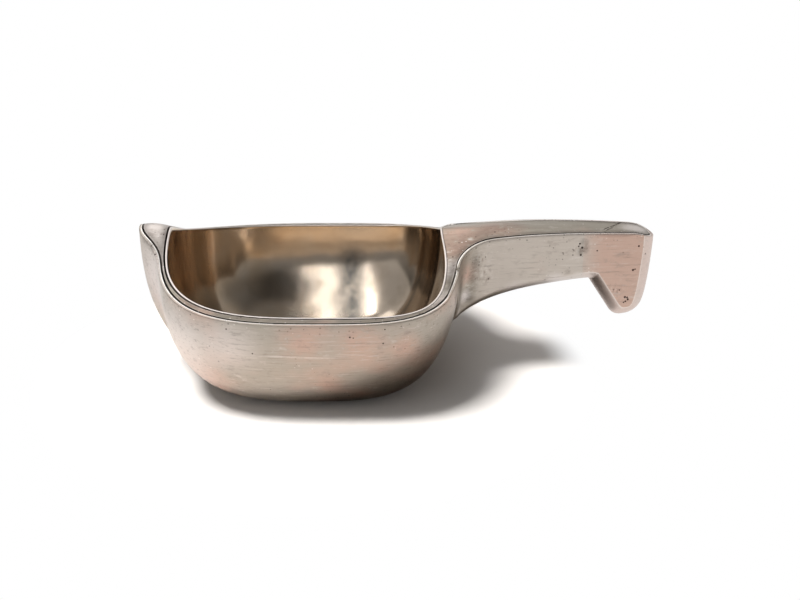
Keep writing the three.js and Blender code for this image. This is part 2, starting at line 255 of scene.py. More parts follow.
class LadleFinish(bpy.types.PropertyGroup):
    """Colours of the metal, before light falls on it; the rubbed silver also stands for painted light."""

    silver: tint("Silver", "Worn silver", (0.6, 0.53, 0.465))
    pink: tint("Copper blush", "Where copper shows through", (0.62, 0.415, 0.33))
    dull: tint("Dull silver", "Film that dulls the silver", (0.34, 0.298, 0.238))
    # Rubbed silver is also the colour of painted light: lighter patches, lit edges and the inner bowl's lip
    rubbed_and_lit: tint("Rubbed silver", "Where hands have rubbed it bright", (0.78, 0.71, 0.67))
    tarnish: tint("Tarnish", "Dark film beside the seams", (0.09, 0.07, 0.055))
    gilding: tint("Gilding", "Inside of the bowl", (0.6, 0.462, 0.33))
    bare: tint("Bare inside", "Inside where the gilding is worn off", (0.61, 0.585, 0.55))


def clamp(value, low, high):
    return max(low, min(high, value))


def lerp(a, b, t):
    return a + (b - a) * t


def crest(x):
    """The height of the ridge along the middle of prow, bowl and handle."""
    handle = clamp((x - MOUTH_HANDLE_X) / (HANDLE_END_X - MOUTH_HANDLE_X), 0, 1)
    end = max(0, (x - HANDLE_END_X) / HANDLE_DROOP_LENGTH + 1)
    prow = max(0, (MOUTH_PROW_X - x) / (MOUTH_PROW_X - PROW_TIP_X))
    arch = HANDLE_ARCH * sin(pi * handle) + PROW_ARCH * sin(pi * min(1, prow))
    return RIM_END_Z + arch - HANDLE_DROOP * end**2 + PROW_LIFT * prow**2


def saddle(x, y):
    """The height of the upper surface above any place, with its soft ridge towards prow and handle."""
    side = hypot(y, RIDGE_ROUND) - RIDGE_ROUND
    across = max(0, 1 - side / BOWL_HALF_WIDTH)
    dip = (RIM_END_Z - RIM_SIDE_Z) * (1 - across**RIM_DIP_POWER)
    beyond = max(0, x - MOUTH_HANDLE_X)
    return crest(x) - dip * exp(-beyond / HANDLE_FLATTEN_LENGTH)


def on_saddle(point):
    return Vector((point[0], point[1], saddle(point[0], point[1])))


def oval(angle, x, to_prow, to_handle, half_width, prow_power, handle_power):
    """A point of a superellipse at a polar angle about (x, 0)."""
    c, s = cos(angle), sin(angle)
    reach, power = (to_prow, prow_power) if c < 0 else (to_handle, handle_power)
    radius = (abs(c / reach) ** power + abs(s / half_width) ** power) ** (-1 / power)
    return Vector((x + radius * c, radius * s))


def mouth_point(angle, grow):
    """The mouth's edge, moved outwards by grow, with the handle's tongue reaching in."""
    p = oval(
        angle, MOUTH_X, MOUTH_TO_PROW + grow, MOUTH_TO_HANDLE + grow, MOUTH_HALF_WIDTH + grow,
        MOUTH_PROW_POWER, MOUTH_HANDLE_POWER,
    )
    if p.x > MOUTH_X:
        p.x -= TONGUE_LENGTH * exp(-((p.y / TONGUE_HALF_WIDTH) ** 2))
    return p


def rim_point(angle, grow):
    """The outer edge of the rim, moved outwards by grow, with the prow's nose drawn out of the round."""
    p = oval(
        angle, MOUTH_X, MOUTH_TO_PROW + RIM_PROW + grow, MOUTH_TO_HANDLE + RIM_HANDLE + grow,
        BOWL_HALF_WIDTH + grow, MOUTH_PROW_POWER, RIM_HANDLE_POWER,
    )
    if p.x < MOUTH_X:
        p.x -= NOSE_LENGTH * exp(-((abs(p.y) / (NOSE_HALF_WIDTH + grow)) ** NOSE_POWER))
    return p


def base_point(angle, grow):
    """The edge of the flat bottom, moved outwards by grow."""
    reach = BASE_HALF_LENGTH + grow
    return oval(angle, 0, reach, reach, BASE_HALF_WIDTH + grow, BASE_POWER, BASE_POWER)


def handle_half_width(x, grow=0, height=1):
    """Half the handle's width at x; the fillet into the bowl fades from the top, height 1, downwards."""
    fillet = ROOT_FILLET - grow
    along = (x - BOWL_HANDLE_X) / (HANDLE_END_X - BOWL_HANDLE_X)
    taper = lerp(HANDLE_ROOT_HALF_WIDTH, HANDLE_END_HALF_WIDTH, along)
    back = clamp(BOWL_HANDLE_X - ROOT_BURY + ROOT_FILLET - x, 0, fillet)
    flare = fillet - sqrt(fillet**2 - back**2)
    return taper + grow + flare * (1 - ROOT_FILLET_FADE * (1 - height))


def underside_z(x):
    """The height of the handle's underside along its middle."""

    def fall(at):
        return exp(-(at - BOWL_HANDLE_X) / UNDERSIDE_RISE_LENGTH)

    at_hook = fall(HOOK_CORNER_X)
    rise = UNDERSIDE_HOOK_Z - UNDERSIDE_ROOT_Z
    return UNDERSIDE_HOOK_Z - rise * (fall(x) - at_hook) / (1 - at_hook)


def column_angles(count, joints=()):
    """Angles round the bowl, crowded at the prow, with one each side of every joint."""
    even = [tau * step / count for step in range(count)]
    angles = [angle + COLUMN_CROWDING * sin(angle) for angle in even]
    for joint in joints:
        angles += [joint - JOINT_STEP, joint + JOINT_STEP]
    return sorted(angle % tau for angle in angles)


def handle_joint(grow_bowl, grow_handle):
    """The polar angle at which the rim's outline runs into the handle's, found by halving."""
    low, high, halvings = 0.2, 1.2, 50
    for _ in range(halvings):
        middle = (low + high) / 2
        p = rim_point(middle, grow_bowl)
        if p.y > handle_half_width(p.x, grow_handle):
            high = middle
        else:
            low = middle
    return high


def belly_power(angle):
    """How full the belly is on one side of the bowl: fullest under the prow."""
    return lerp(BELLY_POWER, BELLY_PROW_POWER, max(0, -cos(angle)) ** 2)


def wall_point(floor_z, low, high, top, part, power):
    """One point of a raised wall: part runs from the floor's edge, 0, to the rim, 1."""
    up = 1 - cos(part * pi / 2)
    p = low.lerp(high, sqrt(1 - (1 - up) ** power))
    return Vector((p.x, p.y, lerp(floor_z, top, up)))


def weld(bm):
    bmesh.ops.remove_doubles(bm, verts=bm.verts, dist=MERGE)
    bmesh.ops.dissolve_degenerate(bm, edges=bm.edges, dist=MERGE)


def sheet(columns, rows, place):
    """A grid of faces laid out by place(u, v), with u and v from 0 to 1."""
    bm = bmesh.new()
    bmesh.ops.create_grid(bm, x_segments=columns, y_segments=rows, size=0.5)
    for v in bm.verts:
        v.co = place(v.co.x + 0.5, v.co.y + 0.5)
    weld(bm)
    return bm


def spun_cup(stations, angles):
    """A profile spun round, whose columns are drawn out to where the stations say."""
    bm = bmesh.new()
    profile = [bm.verts.new((1, 0, height)) for height in range(len(stations))]
    edges = [bm.edges.new(pair) for pair in zip(profile, profile[1:])]
    count = len(angles)
    bmesh.ops.spin(bm, geom=profile + edges, axis=(0, 0, 1), angle=tau, steps=count, use_merge=True)
    for v in bm.verts:
        column = round(atan2(v.co.y, v.co.x) / tau * count) % count
        v.co = stations[round(v.co.z)](angles[column])
    weld(bm)
    bmesh.ops.recalc_face_normals(bm, faces=bm.faces)
    return bm


def finished_mesh(name, bm):
    mesh = bpy.data.meshes.new(name)
    bm.to_mesh(mesh)
    bm.free()
    return mesh


def add_object(name, data):
    made = bpy.data.objects.new(name, data)
    bpy.context.scene.collection.objects.link(made)
    return made


def finish_piece(name, bm, node, material, way_to_seam):
    """Makes an object of a finished bmesh, paints the way to the nearest seam on it and sets it in the frame."""
    mesh = finished_mesh(name, bm)
    mesh.polygons.foreach_set("use_smooth", [True] * len(mesh.polygons))
    away = mesh.attributes.new("seam_distance", "FLOAT", "POINT")
    away.data.foreach_set("value", [way_to_seam(v.co) for v in mesh.vertices])
    mesh.materials.append(material)
    piece = add_object(name, mesh)
    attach(piece, "root")
    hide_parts(node)


def seam_tree(sizes, all_round=False):
    """All grooves as a cloud of points, to measure the way to the nearest one.

    all_round follows the lip of the inner bowl on, where its groove is closed.
    """
    points = []
    around, along, end_steps = 1200, 400, 40
    joint = handle_joint(-sizes.shell_sheet, -sizes.handle_sheet)
    rim_inset = -sizes.shell_sheet - sizes.seam / 2
    for angle in column_angles(around):
        if all_round or cos(angle) < LINER_SEAM_CLOSES:
            out = sizes.liner_sheet + sizes.seam - liner_seam(sizes, angle) / 2
            points.append(on_saddle(mouth_point(angle, out)))
        if joint < angle < tau - joint:
            points.append(on_saddle(rim_point(angle, rim_inset)))
    start = rim_point(joint, rim_inset).x
    end = HANDLE_END_X - UNDERSIDE_ROUND
    inset = -sizes.handle_sheet - sizes.seam / 2
    for step in range(along):
        x = lerp(start, end, step / along)
        points += [on_saddle((x, side * handle_half_width(x, inset))) for side in (-1, 1)]
    for step in range(-end_steps, end_steps + 1):
        turn = step / end_steps * pi / 2
        x = end + (UNDERSIDE_ROUND + inset) * cos(turn)
        points.append(on_saddle((x, handle_half_width(x, inset) * sin(turn))))
    tree = KDTree(len(points))
    for index, point in enumerate(points):
        tree.insert(point, index)
    tree.balance()
    return lambda co: tree.find(co)[2]


def liner_seam(sizes, angle):
    """The width of the groove round the inner bowl, which closes up towards the handle."""
    closed = clamp((cos(angle) - LINER_SEAM_CLOSES) / LINER_SEAM_FADE, 0, 1)
    return lerp(sizes.seam, sizes.soldered, closed)


def lip_stations(outline, top, thickness, edge):
    """The stations over a lip, from the outer side to the inner side, both edges rounded."""
    turns = [step * pi / (2 * LIP_STEPS) for step in range(LIP_STEPS + 1)]
    stations = [(edge * (1 - cos(turn)), edge * (1 - sin(turn))) for turn in turns]
    stations += [(thickness - inset, drop) for inset, drop in reversed(stations)]

    def station(inset, drop):
        def place(angle):
            p = outline(angle, -inset)
            return Vector((p.x, p.y, top(angle, p) - drop))

        return place

    return [station(inset, drop) for inset, drop in stations]


def bowl_stations(floor_z, thickness, base, outline, top, edge, wall_steps=44, floor_steps=8):
    """The stations of one sheet bowl, from the middle of its outside over the lip to the middle of its inside."""

    def side(grow, drop):
        def floor(part):
            def place(angle):
                p = base(angle, grow)
                return Vector((p.x * part, p.y * part, floor_z - grow))

            return place

        def wall(part):
            def place(angle):
                high = outline(angle, grow)
                full = saddle(high.x, high.y) - drop
                p = wall_point(floor_z - grow, base(angle, grow), high, full, part, belly_power(angle))
                p.z = min(p.z, top(angle, high) - drop)
                return p

            return place

        floors = [floor(step / floor_steps) for step in range(floor_steps)]
        return floors + [wall(step / wall_steps) for step in range(wall_steps)]

    inner = side(-thickness, edge)
    return side(0, edge) + lip_stations(outline, top, thickness, edge) + inner[::-1]


def shell_bmesh(sizes):
    """The outer bowl. Its lip stands in the groove, and dives under the cover where the handle begins."""
    joint = handle_joint(0, 0)
    covered = sizes.cover_sheet + sizes.seam

    def top(angle, point):
        inside = angle < joint or angle > tau - joint
        return saddle(point.x, point.y) - (covered if inside else 0)

    angles = column_angles(sizes.columns, (joint, -joint))
    stations = bowl_stations(0, sizes.shell_sheet, base_point, rim_point, top, sizes.edge_round)
    return spun_cup(stations, angles)


def dent(co, sizes):
    """How far the hammer drives the inside in at a place: soft overlapping marks and a slow unevenness."""
    near = noise.voronoi(co / sizes.dent_size)[0][0]
    slow = noise.noise(co / (SLOW_WIDTH * sizes.dent_size))
    elsewhere = Vector((3, 5, 7))
    middling = noise.noise(co / (MIDDLING_WIDTH * sizes.dent_size) + elsewhere)
    beaten = noise.noise(co / BEATEN_SIZE) * exp(-(((co.x - BEATEN_X) / BEATEN_REACH) ** 2)) * (co.y > 0)
    marks = MARK_SHARE * (1 - near) + SLOW_SHARE * slow + MIDDLING_SHARE * middling + BEATEN_SHARE * beaten
    return sizes.dent_depth * marks


def liner_bmesh(sizes):
    """The inner bowl, with its thin lip and the hammer marks on its inside."""

    def base(angle, grow):
        return base_point(angle, grow - LINER_FLOOR_INSET)

    def outline(angle, grow):
        return mouth_point(angle, grow + sizes.liner_sheet)

    def top(angle, point):
        return saddle(point.x, point.y)

    floor_z = sizes.shell_sheet + sizes.seam
    stations = bowl_stations(
        floor_z, sizes.liner_sheet, base, outline, top, sizes.edge_round, wall_steps=60, floor_steps=14
    )
    bm = spun_cup(stations, column_angles(sizes.columns))
    bm.normal_update()
    floor_faces_up, wall_faces_in = 0.05, -0.2
    for v in bm.verts:
        p = Vector((v.co.x - MOUTH_X, v.co.y, 0))
        inward = v.normal.z > floor_faces_up or (p.length > 0 and v.normal.dot(p.normalized()) < wall_faces_in)
        below_lip = saddle(v.co.x, v.co.y) - v.co.z
        if inward and below_lip > DENTS_START:
            fade = min(1, (below_lip - DENTS_START) / DENTS_FADE)
            v.co -= v.normal * dent(v.co, sizes) * fade
    return bm


def handle_end_x(across, inset):
    """Where the handle's rounded end lies, at a share of its half width."""
    return HANDLE_END_X - UNDERSIDE_ROUND + (UNDERSIDE_ROUND - inset) * sqrt(max(0, 1 - across**2))


def cover_bmesh(sizes):
    """The plate round the mouth and along the handle, in one sheet with rounded edges."""
    bowl_inset = sizes.shell_sheet + sizes.seam
    handle_inset = sizes.handle_sheet + sizes.seam
    joint = handle_joint(-bowl_inset, -handle_inset)
    corner = rim_point(joint, -bowl_inset)
    across, band_rows, handle_rows = 48, 8, 150

    def inner(angle):
        return mouth_point(angle, sizes.liner_sheet + liner_seam(sizes, angle))

    def band(u, v):
        crowded = u + COLUMN_CROWDING * sin(tau * u) / tau
        angle = lerp(joint, tau - joint, crowded)
        return on_saddle(inner(angle).lerp(rim_point(angle, -bowl_inset), v))

    def neck(u, v):
        y = corner.y * lerp(-1, 1, u)
        angle = atan2(y, corner.x - MOUTH_X)
        return on_saddle(inner(angle).lerp(Vector((corner.x, y)), v))

    def along(u, v):
        side = lerp(-1, 1, u)
        x = lerp(corner.x, handle_end_x(side, handle_inset), v**HANDLE_CROWDING)
        return on_saddle((x, side * handle_half_width(x, -handle_inset)))

    bm = sheet(sizes.columns, band_rows, band)
    for patch, rows in ((neck, band_rows), (along, handle_rows)):
        spare = finished_mesh("spare", sheet(across, rows, patch))
        bm.from_mesh(spare)
        bpy.data.meshes.remove(spare)
    bmesh.ops.remove_doubles(bm, verts=bm.verts, dist=PATCH_MERGE)
    bmesh.ops.recalc_face_normals(bm, faces=bm.faces)
    if sum(face.normal.z for face in bm.faces) < 0:
        bmesh.ops.reverse_faces(bm, faces=bm.faces)
    return bm


def thicken(bm, sizes, thickness):
    """Gives a sheet its thickness on the side away from its faces and rounds the lips near the top."""
    bmesh.ops.solidify(bm, geom=bm.faces[:], thickness=thickness)
    bmesh.ops.recalc_face_normals(bm, faces=bm.faces)
    bm.normal_update()
    sharp = [
        edge for edge in bm.edges
        if edge.is_manifold and edge.calc_face_angle() > SHARP_ANGLE and all(near_top(v.co) for v in edge.verts)
    ]
    worn = sizes.edge_round * LIP_BEVEL_SHARE
    bmesh.ops.bevel(bm, geom=sharp, offset=worn, affect="EDGES", segments=2, profile=0.5, material=-1)
    for edge in bm.edges:
        edge.smooth = edge.is_manifold and edge.calc_face_angle() < SHARP_ANGLE


def near_top(co):
    return co.z > saddle(co.x, co.y) - NEAR_TOP


def cut_seam(bm, point, normal):
    """Cuts a piece across and drops the side that the normal points to."""
    geometry = bm.verts[:] + bm.edges[:] + bm.faces[:]
    bmesh.ops.bisect_plane(bm, geom=geometry, plane_co=point, plane_no=normal, clear_outer=True)


def hook_profile(out, share):
    """The hook's outline with its corners worn round."""
    reach = min(HOOK_CORNER_WEAR, share, 1 - share)
    steps = range(-CORNER_STEPS, CORNER_STEPS + 1)
    near = [hook_edges(out, share + reach * step / CORNER_STEPS) for step in steps]
    return sum(near, Vector((0, 0))) / len(near)


def hook_edges(out, share):
    """The hook's outline in the plane of the handle, out from the flat of its side by 0 to 5 mm.

    share runs from 0 at the corner under the handle, down the inner face, over the tip and up the back to 1.
    """
    flat = UNDERSIDE_ROUND
    drop = UNDERSIDE_HOOK_Z - HOOK_TIP_Z
    slope = hypot(HOOK_LEAN, drop)
    corner = Vector((HOOK_CORNER_X + flat * (slope - HOOK_LEAN) / drop, UNDERSIDE_HOOK_Z + flat))
    tip_z = HOOK_TIP_Z + flat
    tip = Vector((corner.x + HOOK_LEAN * (corner.y - tip_z) / drop, tip_z))
    heel = tip + Vector((HOOK_TIP_LENGTH, HOOK_TIP_RISE))
    back_x = HANDLE_END_X - flat
    knee = Vector((back_x - HOOK_HEEL_INSET, tip_z + HOOK_HEEL_HEIGHT))
    shoulder = Vector((back_x, RIM_END_Z - flat))

    def outward(a, b):
        along = (b - a).normalized()
        return Vector((along.y, -along.x))

    def mitre(first, second):
        return (first + second) / (1 + first.dot(second))

    under = Vector((0, -1))
    inner_side = outward(corner, tip)
    tip_side = outward(tip, heel)
    heel_side = outward(heel, knee)
    corners = [corner + mitre(under, inner_side) * out, tip + mitre(inner_side, tip_side) * out]
    corners.append(heel + mitre(tip_side, heel_side) * out)
    inner_end, tip_end, back_end = 0.36, 0.52, 0.86
    if share <= inner_end:
        return corners[0].lerp(corners[1], share / inner_end)
    if share <= tip_end:
        return corners[1].lerp(corners[2], (share - inner_end) / (tip_end - inner_end))
    if share <= back_end:
        t = (share - tip_end) / (back_end - tip_end)
        p = heel.lerp(knee, t).lerp(knee.lerp(shoulder, t), t)
        side = outward(heel.lerp(knee, t), knee.lerp(shoulder, t))
        return p + (side if t > 0 else mitre(tip_side, heel_side)) * out
    top = saddle(back_x + out, 0)
    return Vector((back_x + out, lerp(RIM_END_Z - flat, top, (share - back_end) / (1 - back_end))))


def facet(x):
    """How flat the rounded edges are hammered: 1 is round, and towards the hook they turn into facets."""
    t = clamp((x - FACET_START_X) / (HOOK_CORNER_X - FACET_START_X), 0, 1)
    return lerp(1, FACET_FLATNESS, t * t * (3 - 2 * t))


def arm_point(x, turn, height):
    """A point of the arm's U section: turn 0 to 1 rounds under it, and height 0 to 1 climbs its side."""
    round_z = underside_z(x) + UNDERSIDE_ROUND
    width = handle_half_width(x, 0, height)
    if height > 0:
        return Vector((x, -width, lerp(round_z, saddle(x, handle_half_width(x)), height)))
    across = max(0, cos(turn * pi / 2))
    down = sin(turn * pi / 2) ** facet(x)
    return Vector((x, -width * across, round_z - UNDERSIDE_ROUND * down))


def handle_bmesh(bowl_tree):
    """The skin of trough and hook: U-shaped columns from the bowl to the corner, then fanned round the hook."""
    side_rows, round_rows, arm_columns, hook_columns = 16, 14, 90, 110
    rows = 2 * (side_rows + round_rows)
    search_from, search_steps = 80 * MM, 120

    def section(row):
        """Row to (turn, height, side): down the near side, round underneath and up the far side."""
        side = 1 if row <= rows / 2 else -1
        step = min(row, rows - row)
        if step <= side_rows:
            return 0, 1 - step / side_rows, side
        return (step - side_rows) / round_rows, 0, side

    @cache
    def root_x(turn, height):
        """Where a line along the arm enters the bowl; near the rim the lines share one place."""
        height = min(height, ROOT_LIP_HEIGHT)
        before = arm_point(search_from, turn, height)
        for step in range(1, search_steps + 1):
            after = arm_point(lerp(search_from, MOUTH_HANDLE_X, step / search_steps), turn, height)
            way = after - before
            hit = bowl_tree.ray_cast(before, way.normalized(), way.length)[0]
            if hit:
                return hit.x
            before = after
        return MOUTH_HANDLE_X

    def place(u, v):
        turn, height, side = section(round(v * rows))
        column = round(u * (arm_columns + hook_columns))
        if column <= arm_columns:
            root = root_x(turn, height)
            x = lerp(root - ROOT_DEPTH, HOOK_CORNER_X, (column / arm_columns) ** HANDLE_CROWDING)
            p = arm_point(x, turn, height)
            p.z -= max(0, root - x) * max(0, height - ROOT_LIP_HEIGHT) / (1 - ROOT_LIP_HEIGHT)
        else:
            share = (column - arm_columns) / hook_columns
            out = UNDERSIDE_ROUND * sin(turn * pi / 2) ** FACET_FLATNESS
            low = hook_profile(out, share)
            top_x = lerp(HOOK_CORNER_X, HANDLE_END_X - UNDERSIDE_ROUND, share)
            top = Vector((top_x, saddle(top_x, handle_half_width(top_x))))
            flat = low.lerp(top, height)
            y = handle_half_width(min(flat.x, HANDLE_END_X)) * max(0, cos(turn * pi / 2))
            p = Vector((flat.x, -y, min(flat.y, saddle(flat.x, y))))
        p.y *= side
        return p

    bm = sheet(arm_columns + hook_columns, rows, place)
    bmesh.ops.recalc_face_normals(bm, faces=bm.faces)
    if max(bm.faces, key=lambda face: face.calc_center_median().x).normal.x < 0:
        bmesh.ops.reverse_faces(bm, faces=bm.faces)
    return bm


class Value:
    """A shader socket that takes part in Python expressions."""

    def __init__(self, shade, socket):
        self.shade = shade
        self.socket = socket

    def maths(self, operation, *values):
        return self.shade.node("ShaderNodeMath", dict(enumerate(values)), operation=operation)

    def __add__(self, other):
        return self.maths("ADD", self, other)

    def __mul__(self, other):
        return self.maths("MULTIPLY", self, other)

    def __sub__(self, other):
        return self.maths("SUBTRACT", self, other)

    def __rsub__(self, other):
        return self.maths("SUBTRACT", other, self)

    def __truediv__(self, other):
        return self.maths("DIVIDE", self, other)

    def __rtruediv__(self, other):
        return self.maths("DIVIDE", other, self)

    __radd__ = __add__
    __rmul__ = __mul__

    def band(self, low, high):
        """0 at low and 1 at high, with soft ends; low may lie above high."""
        inputs = {"Value": self, "From Min": low, "From Max": high}
        return self.shade.node("ShaderNodeMapRange", inputs, interpolation_type="SMOOTHSTEP")

    def band_mm(self, low, high):
        return self.band(low * MM, high * MM)


class Shade:
    """The nodes of one material, or of the world."""

    def __init__(self, holder, coordinates="Object"):
        self.holder = holder
        holder.use_nodes = True
        self.nodes = holder.node_tree.nodes
        self.links = holder.node_tree.links
        self.nodes.clear()
        self.place = self.node("ShaderNodeTexCoord", output=coordinates)

    def node(self, kind, inputs=None, output=0, **settings):
        """Adds a node of any kind: its settings first, then the values or links of its sockets."""
        made = self.nodes.new(kind)
        for key, value in settings.items():
            setattr(made, key, value)
        for key, value in (inputs or {}).items():
            if isinstance(value, Value):
                self.links.new(value.socket, made.inputs[key])
            elif made.inputs[key].type == "RGBA" and len(value) == 3:
                made.inputs[key].default_value = (*value, 1)
            else:
                made.inputs[key].default_value = value
        return Value(self, made.outputs[output]) if made.outputs else made

    def mix(self, factor, first, second):
        return self.node("ShaderNodeMix", {0: factor, 6: first, 7: second}, output=2, data_type="RGBA")

    def layered(self, colour, *layers):
        """Lays more colours over the first, each by its own share."""
        for share, over in layers:
            colour = self.mix(share, colour, over)
        return colour

    def axis(self, name, vector=None):
        return self.node("ShaderNodeSeparateXYZ", {0: vector or self.place}, output=name)

    def way_to(self, point):
        """How far a place lies from a point."""
        return self.node("ShaderNodeVectorMath", {0: self.place, 1: point}, output="Value", operation="DISTANCE")

    def stretched(self, scale, turn=(0, 0, 0)):
        return self.node("ShaderNodeMapping", {"Vector": self.place, "Scale": scale, "Rotation": turn})

    def noise(self, size, detail=3.0, roughness=0.5, vector=None):
        """Noise from 0 to 1 whose lumps are about size metres wide."""
        inputs = {"Vector": vector or self.place, "Scale": 1 / size, "Detail": detail, "Roughness": roughness}
        return self.node("ShaderNodeTexNoise", inputs)

    def pits(self, size, spacing, share, vector=None):
        """Small round pits of several sizes, 1 at their middle, in a share of the cells of a lattice."""
        inputs = {"Vector": vector or self.place, "Scale": 1 / spacing}
        distance = self.node("ShaderNodeTexVoronoi", inputs, output="Distance")
        chance = self.node("ShaderNodeTexVoronoi", inputs, output="Color")
        red, green = (self.node("ShaderNodeSeparateColor", {0: chance}, output=part) for part in (0, 1))
        reach = (green + 0.35) * (size / spacing)
        return (distance / reach).band(1.0, 0.55) * red.band(1 - share, 1 - share + 0.02)

    def spots(self, marks, core=0.5):
        """Single round places, 1 in their core: each has a middle and a radius, in millimetres."""
        gap = 1.0
        for x, y, z, radius in marks:
            gap = gap * self.way_to((x * MM, y * MM, z * MM)).band_mm(radius * core, radius)
        return 1 - gap

    def strokes(self, lines, core=0.3):
        """Short straight lines, 1 along their middle: each has a start, an end and half a width, in millimetres."""
        gap = 1.0
        for start, end, half_width in lines:
            first, last = Vector(start) * MM, Vector(end) * MM
            heading = tuple((last - first).normalized())
            way = self.node("ShaderNodeVectorMath", {0: self.place, 1: tuple(first)}, operation="SUBTRACT")
            along = self.node("ShaderNodeVectorMath", {0: way, 1: heading}, output="Value", operation="DOT_PRODUCT")
            held = self.node("ShaderNodeClamp", {"Value": along, "Min": 0.0, "Max": (last - first).length})
            foot = self.node("ShaderNodeVectorMath", {0: heading, "Scale": held}, operation="SCALE")
            off = self.node("ShaderNodeVectorMath", {0: way, 1: foot}, output="Value", operation="DISTANCE")
            gap = gap * off.band_mm(half_width * core, half_width)
        return 1 - gap

    def seam(self):
        return self.node("ShaderNodeAttribute", output="Fac", attribute_name="seam_distance")

    def metal(self, colour, roughness, height, strength, distance):
        """The metal surface itself."""
        bump = self.node("ShaderNodeBump", {"Strength": strength, "Distance": distance, "Height": height})
        inputs = {"Base Color": colour, "Roughness": roughness, "Normal": bump, "Metallic": 1.0}
        surface = self.node("ShaderNodeBsdfPrincipled", inputs)
        self.node("ShaderNodeOutputMaterial", {"Surface": surface})
        return self.holder


@dataclass
class Wear:
    """How one piece of silver has aged, with the light and shade painted on it: ranges and shares, and places in
    millimetres.
    """

    blush: tuple
    tarnish: tuple
    # Share of the painted highlight along the lips beside the grooves
    lip: float
    dull: float = 0.0
    # Share of the painted highlights on the arm's rounded edges and the hook's facets, partly worn bright
    edges: float = 0.0
    pits: tuple = ()
    # Dark strokes: stain, and painted shade in creases and at the handle's root
    stains_and_painted_shade: tuple = ()
    strokes: tuple = ()
    # Painted highlight lines on the surface
    painted_highlight_lines: tuple = ()
    scored: tuple = ()
    # Lighter patches, partly rubbed bright and partly painted light where the light falls strongest
    rubbed_and_lit: tuple = ()
    blushed: tuple = ()
    blush_from: tuple = ()
    # A span along x in millimetres over which the dull colour comes in, darker towards its end
    darker_span: tuple = ()


SHELL_WEAR = Wear(
    blush=(0.42, 0.85), tarnish=(2, 0.15), lip=1, dull=0.5,
    pits=(
        (-27.2, -54.3, 40.9, 0.45), (-26, -54.5, 41.1, 0.4), (-6, -57, 42, 0.45), (-3, -57, 41.6, 0.35),
        (0.5, -57.2, 42, 0.4), (16.7, -57, 38.9, 0.55), (17.9, -57, 38.6, 0.4), (28.4, -55.7, 36, 0.5),
        (-58.4, -17.2, 55.6, 0.5), (-60.4, -13, 57.4, 0.5),
    ),
    # Painted shade down the fillet and its creases at the handle's root, and a darker streak at the prow
    stains_and_painted_shade=(
        ((56.4, -27, 52), (56.4, -24, 36), 3.2), ((55, -33, 44), (55, -30, 30), 3),
        ((-60, -14, 57), (-63, -8, 58), 2.5),
    ),
    # Painted highlight line across the near wall, standing for a mirrored light
    painted_highlight_lines=(((-27, -53.4, 31.4), (-8, -56.2, 30.8), 0.8), ((-8, -56.2, 30.8), (9, -56.2, 30.2), 0.6)),
    scored=((-59.5, -15, 56.6, 6),),
    # Lighter patches on the prow flank and near wall: partly rubbed, partly painted light
    rubbed_and_lit=((-60, -18, 46, 24), (-44, -40, 30, 24), (-30, -62, 32, 20)),
    blushed=(
        (0, -56, 37, 13), (20, -56, 37, 13), (36, -52, 34, 9), (8, -50, 17, 9), (-60, -16, 40, 16),
        (-40, -42, 20, 16),
    ),
)
COVER_WEAR = Wear(
    blush=(0.48, 0.78), tarnish=(4.2, 0.5), lip=0.1, dull=0.9,
    pits=((-56.9, -5.5, 59.6, 0.4), (-57.2, -2.5, 60.4, 0.35), (71.1, -5.1, 60.4, 0.45), (68, -8, 60, 0.4)),
    strokes=(
        ((113.6, -3.2, 60.9), (115.8, -0.6, 60.9), 0.4), ((116.4, -0.4, 60.9), (118.6, 2.4, 60.8), 0.35),
        ((114.8, -3.4, 60.9), (117.2, -1.2, 60.9), 0.35), ((119.2, 3.4, 60.7), (121.8, 6.2, 60.6), 0.4),
    ),
    # Darker across the plate at the handle's root
    stains_and_painted_shade=(((50, -32, 49), (60, -12, 57), 13), ((60, -12, 57), (76, 0, 60.6), 10)),
    scored=((-57, -6, 59.5, 4),),
    # Lighter patches on the prow plate, at the root and at the end: partly rubbed, partly painted light
    rubbed_and_lit=((-64, 0, 61, 26), (-54, -18, 54, 13), (45, -38, 46, 12), (54, -25, 52, 9), (127, 0, 61, 9)),
    blushed=((72, -2, 60.6, 15), (59, -14, 57.5, 17), (58, -4, 60, 12)),
)
TROUGH_WEAR = Wear(
    blush=(0.6, 0.95), tarnish=(2.6, 0.15), lip=1, dull=0.5, edges=0.5,
    pits=((104.6, -8.9, 55.4, 0.6), (103.6, -8.9, 57, 0.5), (104.2, -8.9, 52.4, 0.55), (103.2, -9, 56, 0.4)),
    # Painted shade down the root's fillet and creases, and a stain by the hook's seam
    stains_and_painted_shade=(
        ((63.4, -14.3, 53), (61.4, -13.4, 36), 3.8), ((57.6, -19, 47), (57, -17.4, 34), 2.2),
        ((105, -8.9, 57.5), (104, -8.9, 53), 2.2), ((57.2, -20.6, 46), (57.6, -18.2, 37), 1),
    ),
    scored=((65.5, -12.8, 53, 5), (66.8, -12.2, 45, 6), (104, -8.9, 55, 4)),
    # Lighter patches on the root's facet and under the arm: partly rubbed, partly painted highlight
    rubbed_and_lit=((59.8, -15.2, 37.5, 4), (80, -10, 36, 8), (95, -9, 41, 6)),
    blushed=((60, -16, 47, 7),),
    # Darker towards the bowl, from 70 to 60 mm along x
    darker_span=(70, 60),
)
